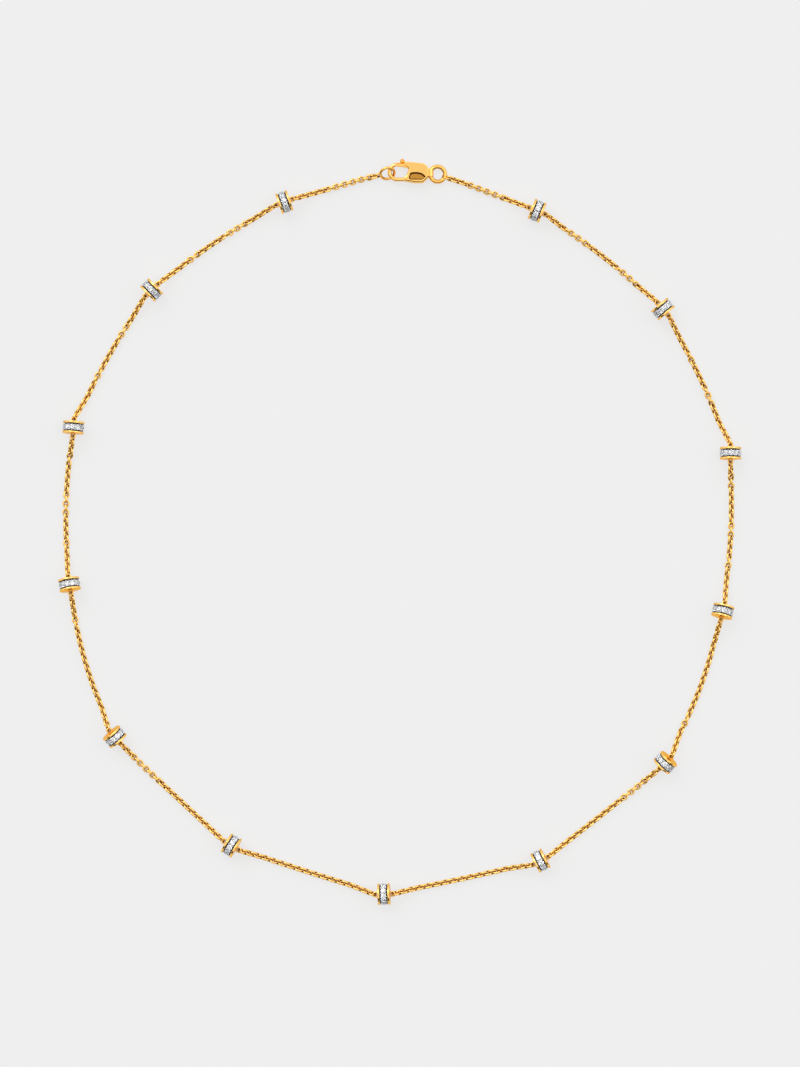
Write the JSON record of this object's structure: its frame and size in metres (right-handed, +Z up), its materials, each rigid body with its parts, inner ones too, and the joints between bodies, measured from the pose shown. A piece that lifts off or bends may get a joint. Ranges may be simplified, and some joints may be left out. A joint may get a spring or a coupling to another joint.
{
  "type": "diamond station necklace",
  "caption": "Fastened gold necklace lying flat: small drums rimmed with round stones, joined by lengths of fine cable chain and closed by a lobster clasp.",
  "frame": {"origin": "middle of the loop's box, on the surface that the necklace lies on", "axes": "+Z up from the surface, +Y from the middle station to the clasp, +X to the right in the view from above, where the clasp's tail points"},
  "size_m": [0.1406, 0.1536, 0.0048],
  "materials": {
    "yellow_gold": "polished 18 ct yellow gold",
    "diamond": "faceted, clear and colourless"
  },
  "bodies": {
    "necklace": {"clasp_body": "yellow_gold", "clasp_pin": "yellow_gold", "small_ring": "yellow_gold", "large_ring": "yellow_gold", "chain_01": "yellow_gold", "chain_02": "yellow_gold", "chain_03": "yellow_gold", "chain_04": "yellow_gold", "chain_05": "yellow_gold", "chain_06": "yellow_gold", "chain_07": "yellow_gold", "chain_08": "yellow_gold", "chain_09": "yellow_gold", "chain_10": "yellow_gold", "chain_11": "yellow_gold", "chain_12": "yellow_gold", "chain_13": "yellow_gold", "chain_14": "yellow_gold", "setting_01": "yellow_gold", "setting_02": "yellow_gold", "setting_03": "yellow_gold", "setting_04": "yellow_gold", "setting_05": "yellow_gold", "setting_06": "yellow_gold", "setting_07": "yellow_gold", "setting_08": "yellow_gold", "setting_09": "yellow_gold", "setting_10": "yellow_gold", "setting_11": "yellow_gold", "setting_12": "yellow_gold", "setting_13": "yellow_gold", "stones_01": "diamond", "stones_02": "diamond", "stones_03": "diamond", "stones_04": "diamond", "stones_05": "diamond", "stones_06": "diamond", "stones_07": "diamond", "stones_08": "diamond", "stones_09": "diamond", "stones_10": "diamond", "stones_11": "diamond", "stones_12": "diamond", "stones_13": "diamond"},
    "lever": {"clasp_lever": "yellow_gold"}
  },
  "joints": [
    {"name": "lever_hinge", "type": "hinge", "parent": "necklace", "child": "lever", "pos_m": [0.00195, 0.0753, 0.0012], "axis": [0, 0, 1], "range_deg": [0, 28], "stiffness_Nm_per_rad": 0.005, "springref_deg": -17.19}
  ]
}
